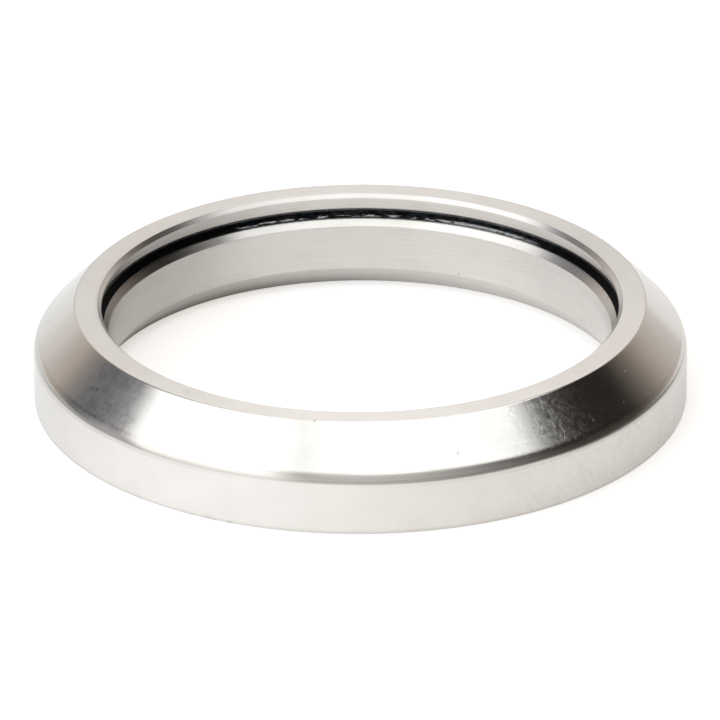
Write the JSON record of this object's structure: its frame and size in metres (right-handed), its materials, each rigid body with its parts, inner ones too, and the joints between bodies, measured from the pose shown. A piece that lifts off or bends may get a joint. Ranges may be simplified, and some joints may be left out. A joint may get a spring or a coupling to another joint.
{
  "type": "headset bearing",
  "caption": "Sealed angular contact ring bearing for a bicycle headset, with a bevelled outside seat at the top and a bevelled inside seat at the bottom.",
  "frame": {"origin": "on the bearing's axis, in the plane of the outer ring's bottom face", "axes": "+Z along the bearing's axis, towards the side with the bevelled outside seat; +X and +Y are any two radial directions"},
  "size_m": [0.052, 0.052, 0.008],
  "materials": {
    "ring_steel": "fine turned and polished",
    "ball_steel": "polished",
    "cage_nylon": "moulded",
    "seal_rubber": "moulded, wet with grease"
  },
  "bodies": {
    "outer_ring": {"outer_ring": "ring_steel", "upper_seal": "seal_rubber", "lower_seal": "seal_rubber"},
    "inner_ring": {"inner_ring": "ring_steel"},
    "ball_cage": {"ball_cage": "cage_nylon"},
    "ball_01": {"ball_01": "ball_steel"},
    "ball_02": {"ball_02": "ball_steel"},
    "ball_03": {"ball_03": "ball_steel"},
    "ball_04": {"ball_04": "ball_steel"},
    "ball_05": {"ball_05": "ball_steel"},
    "ball_06": {"ball_06": "ball_steel"},
    "ball_07": {"ball_07": "ball_steel"},
    "ball_08": {"ball_08": "ball_steel"},
    "ball_09": {"ball_09": "ball_steel"},
    "ball_10": {"ball_10": "ball_steel"},
    "ball_11": {"ball_11": "ball_steel"},
    "ball_12": {"ball_12": "ball_steel"},
    "ball_13": {"ball_13": "ball_steel"},
    "ball_14": {"ball_14": "ball_steel"},
    "ball_15": {"ball_15": "ball_steel"},
    "ball_16": {"ball_16": "ball_steel"},
    "ball_17": {"ball_17": "ball_steel"},
    "ball_18": {"ball_18": "ball_steel"},
    "ball_19": {"ball_19": "ball_steel"},
    "ball_20": {"ball_20": "ball_steel"},
    "ball_21": {"ball_21": "ball_steel"},
    "ball_22": {"ball_22": "ball_steel"},
    "ball_23": {"ball_23": "ball_steel"},
    "ball_24": {"ball_24": "ball_steel"},
    "ball_25": {"ball_25": "ball_steel"},
    "ball_26": {"ball_26": "ball_steel"},
    "ball_27": {"ball_27": "ball_steel"},
    "ball_28": {"ball_28": "ball_steel"},
    "ball_29": {"ball_29": "ball_steel"},
    "ball_30": {"ball_30": "ball_steel"},
    "ball_31": {"ball_31": "ball_steel"},
    "ball_32": {"ball_32": "ball_steel"}
  },
  "joints": [
    {"name": "inner_ring_turn", "type": "hinge", "parent": "outer_ring", "child": "inner_ring", "pos_m": [0, 0, 0.004], "axis": [0, 0, 1], "continuous": true},
    {"name": "cage_turn", "type": "hinge", "parent": "outer_ring", "child": "ball_cage", "pos_m": [0, 0, 0.0036], "axis": [0, 0, 1], "continuous": true},
    {"name": "ball_01_spin", "type": "hinge", "parent": "ball_cage", "child": "ball_01", "pos_m": [0.0229, 0, 0.0036], "axis": [-0.7071, 0, 0.7071], "continuous": true},
    {"name": "ball_02_spin", "type": "hinge", "parent": "ball_cage", "child": "ball_02", "pos_m": [0.02246, 0.00447, 0.0036], "axis": [-0.6935, -0.1379, 0.7071], "continuous": true},
    {"name": "ball_03_spin", "type": "hinge", "parent": "ball_cage", "child": "ball_03", "pos_m": [0.02116, 0.00876, 0.0036], "axis": [-0.6533, -0.2706, 0.7071], "continuous": true},
    {"name": "ball_04_spin", "type": "hinge", "parent": "ball_cage", "child": "ball_04", "pos_m": [0.01904, 0.01272, 0.0036], "axis": [-0.5879, -0.3928, 0.7071], "continuous": true},
    {"name": "ball_05_spin", "type": "hinge", "parent": "ball_cage", "child": "ball_05", "pos_m": [0.01619, 0.01619, 0.0036], "axis": [-0.5, -0.5, 0.7071], "continuous": true},
    {"name": "ball_06_spin", "type": "hinge", "parent": "ball_cage", "child": "ball_06", "pos_m": [0.01272, 0.01904, 0.0036], "axis": [-0.3928, -0.5879, 0.7071], "continuous": true},
    {"name": "ball_07_spin", "type": "hinge", "parent": "ball_cage", "child": "ball_07", "pos_m": [0.00876, 0.02116, 0.0036], "axis": [-0.2706, -0.6533, 0.7071], "continuous": true},
    {"name": "ball_08_spin", "type": "hinge", "parent": "ball_cage", "child": "ball_08", "pos_m": [0.00447, 0.02246, 0.0036], "axis": [-0.1379, -0.6935, 0.7071], "continuous": true},
    {"name": "ball_09_spin", "type": "hinge", "parent": "ball_cage", "child": "ball_09", "pos_m": [0, 0.0229, 0.0036], "axis": [0, -0.7071, 0.7071], "continuous": true},
    {"name": "ball_10_spin", "type": "hinge", "parent": "ball_cage", "child": "ball_10", "pos_m": [-0.00447, 0.02246, 0.0036], "axis": [0.1379, -0.6935, 0.7071], "continuous": true},
    {"name": "ball_11_spin", "type": "hinge", "parent": "ball_cage", "child": "ball_11", "pos_m": [-0.00876, 0.02116, 0.0036], "axis": [0.2706, -0.6533, 0.7071], "continuous": true},
    {"name": "ball_12_spin", "type": "hinge", "parent": "ball_cage", "child": "ball_12", "pos_m": [-0.01272, 0.01904, 0.0036], "axis": [0.3928, -0.5879, 0.7071], "continuous": true},
    {"name": "ball_13_spin", "type": "hinge", "parent": "ball_cage", "child": "ball_13", "pos_m": [-0.01619, 0.01619, 0.0036], "axis": [0.5, -0.5, 0.7071], "continuous": true},
    {"name": "ball_14_spin", "type": "hinge", "parent": "ball_cage", "child": "ball_14", "pos_m": [-0.01904, 0.01272, 0.0036], "axis": [0.5879, -0.3928, 0.7071], "continuous": true},
    {"name": "ball_15_spin", "type": "hinge", "parent": "ball_cage", "child": "ball_15", "pos_m": [-0.02116, 0.00876, 0.0036], "axis": [0.6533, -0.2706, 0.7071], "continuous": true},
    {"name": "ball_16_spin", "type": "hinge", "parent": "ball_cage", "child": "ball_16", "pos_m": [-0.02246, 0.00447, 0.0036], "axis": [0.6935, -0.1379, 0.7071], "continuous": true},
    {"name": "ball_17_spin", "type": "hinge", "parent": "ball_cage", "child": "ball_17", "pos_m": [-0.0229, 0, 0.0036], "axis": [0.7071, 0, 0.7071], "continuous": true},
    {"name": "ball_18_spin", "type": "hinge", "parent": "ball_cage", "child": "ball_18", "pos_m": [-0.02246, -0.00447, 0.0036], "axis": [0.6935, 0.1379, 0.7071], "continuous": true},
    {"name": "ball_19_spin", "type": "hinge", "parent": "ball_cage", "child": "ball_19", "pos_m": [-0.02116, -0.00876, 0.0036], "axis": [0.6533, 0.2706, 0.7071], "continuous": true},
    {"name": "ball_20_spin", "type": "hinge", "parent": "ball_cage", "child": "ball_20", "pos_m": [-0.01904, -0.01272, 0.0036], "axis": [0.5879, 0.3928, 0.7071], "continuous": true},
    {"name": "ball_21_spin", "type": "hinge", "parent": "ball_cage", "child": "ball_21", "pos_m": [-0.01619, -0.01619, 0.0036], "axis": [0.5, 0.5, 0.7071], "continuous": true},
    {"name": "ball_22_spin", "type": "hinge", "parent": "ball_cage", "child": "ball_22", "pos_m": [-0.01272, -0.01904, 0.0036], "axis": [0.3928, 0.5879, 0.7071], "continuous": true},
    {"name": "ball_23_spin", "type": "hinge", "parent": "ball_cage", "child": "ball_23", "pos_m": [-0.00876, -0.02116, 0.0036], "axis": [0.2706, 0.6533, 0.7071], "continuous": true},
    {"name": "ball_24_spin", "type": "hinge", "parent": "ball_cage", "child": "ball_24", "pos_m": [-0.00447, -0.02246, 0.0036], "axis": [0.1379, 0.6935, 0.7071], "continuous": true},
    {"name": "ball_25_spin", "type": "hinge", "parent": "ball_cage", "child": "ball_25", "pos_m": [0, -0.0229, 0.0036], "axis": [0, 0.7071, 0.7071], "continuous": true},
    {"name": "ball_26_spin", "type": "hinge", "parent": "ball_cage", "child": "ball_26", "pos_m": [0.00447, -0.02246, 0.0036], "axis": [-0.1379, 0.6935, 0.7071], "continuous": true},
    {"name": "ball_27_spin", "type": "hinge", "parent": "ball_cage", "child": "ball_27", "pos_m": [0.00876, -0.02116, 0.0036], "axis": [-0.2706, 0.6533, 0.7071], "continuous": true},
    {"name": "ball_28_spin", "type": "hinge", "parent": "ball_cage", "child": "ball_28", "pos_m": [0.01272, -0.01904, 0.0036], "axis": [-0.3928, 0.5879, 0.7071], "continuous": true},
    {"name": "ball_29_spin", "type": "hinge", "parent": "ball_cage", "child": "ball_29", "pos_m": [0.01619, -0.01619, 0.0036], "axis": [-0.5, 0.5, 0.7071], "continuous": true},
    {"name": "ball_30_spin", "type": "hinge", "parent": "ball_cage", "child": "ball_30", "pos_m": [0.01904, -0.01272, 0.0036], "axis": [-0.5879, 0.3928, 0.7071], "continuous": true},
    {"name": "ball_31_spin", "type": "hinge", "parent": "ball_cage", "child": "ball_31", "pos_m": [0.02116, -0.00876, 0.0036], "axis": [-0.6533, 0.2706, 0.7071], "continuous": true},
    {"name": "ball_32_spin", "type": "hinge", "parent": "ball_cage", "child": "ball_32", "pos_m": [0.02246, -0.00447, 0.0036], "axis": [-0.6935, 0.1379, 0.7071], "continuous": true}
  ],
  "couplings": [
    {"joint": "cage_turn", "follows": "inner_ring_turn", "ratio": 0.47549},
    {"joint": "ball_01_spin", "follows": "inner_ring_turn", "ratio": -7.1953},
    {"joint": "ball_02_spin", "follows": "inner_ring_turn", "ratio": -7.1953},
    {"joint": "ball_03_spin", "follows": "inner_ring_turn", "ratio": -7.1953},
    {"joint": "ball_04_spin", "follows": "inner_ring_turn", "ratio": -7.1953},
    {"joint": "ball_05_spin", "follows": "inner_ring_turn", "ratio": -7.1953},
    {"joint": "ball_06_spin", "follows": "inner_ring_turn", "ratio": -7.1953},
    {"joint": "ball_07_spin", "follows": "inner_ring_turn", "ratio": -7.1953},
    {"joint": "ball_08_spin", "follows": "inner_ring_turn", "ratio": -7.1953},
    {"joint": "ball_09_spin", "follows": "inner_ring_turn", "ratio": -7.1953},
    {"joint": "ball_10_spin", "follows": "inner_ring_turn", "ratio": -7.1953},
    {"joint": "ball_11_spin", "follows": "inner_ring_turn", "ratio": -7.1953},
    {"joint": "ball_12_spin", "follows": "inner_ring_turn", "ratio": -7.1953},
    {"joint": "ball_13_spin", "follows": "inner_ring_turn", "ratio": -7.1953},
    {"joint": "ball_14_spin", "follows": "inner_ring_turn", "ratio": -7.1953},
    {"joint": "ball_15_spin", "follows": "inner_ring_turn", "ratio": -7.1953},
    {"joint": "ball_16_spin", "follows": "inner_ring_turn", "ratio": -7.1953},
    {"joint": "ball_17_spin", "follows": "inner_ring_turn", "ratio": -7.1953},
    {"joint": "ball_18_spin", "follows": "inner_ring_turn", "ratio": -7.1953},
    {"joint": "ball_19_spin", "follows": "inner_ring_turn", "ratio": -7.1953},
    {"joint": "ball_20_spin", "follows": "inner_ring_turn", "ratio": -7.1953},
    {"joint": "ball_21_spin", "follows": "inner_ring_turn", "ratio": -7.1953},
    {"joint": "ball_22_spin", "follows": "inner_ring_turn", "ratio": -7.1953},
    {"joint": "ball_23_spin", "follows": "inner_ring_turn", "ratio": -7.1953},
    {"joint": "ball_24_spin", "follows": "inner_ring_turn", "ratio": -7.1953},
    {"joint": "ball_25_spin", "follows": "inner_ring_turn", "ratio": -7.1953},
    {"joint": "ball_26_spin", "follows": "inner_ring_turn", "ratio": -7.1953},
    {"joint": "ball_27_spin", "follows": "inner_ring_turn", "ratio": -7.1953},
    {"joint": "ball_28_spin", "follows": "inner_ring_turn", "ratio": -7.1953},
    {"joint": "ball_29_spin", "follows": "inner_ring_turn", "ratio": -7.1953},
    {"joint": "ball_30_spin", "follows": "inner_ring_turn", "ratio": -7.1953},
    {"joint": "ball_31_spin", "follows": "inner_ring_turn", "ratio": -7.1953},
    {"joint": "ball_32_spin", "follows": "inner_ring_turn", "ratio": -7.1953}
  ]
}
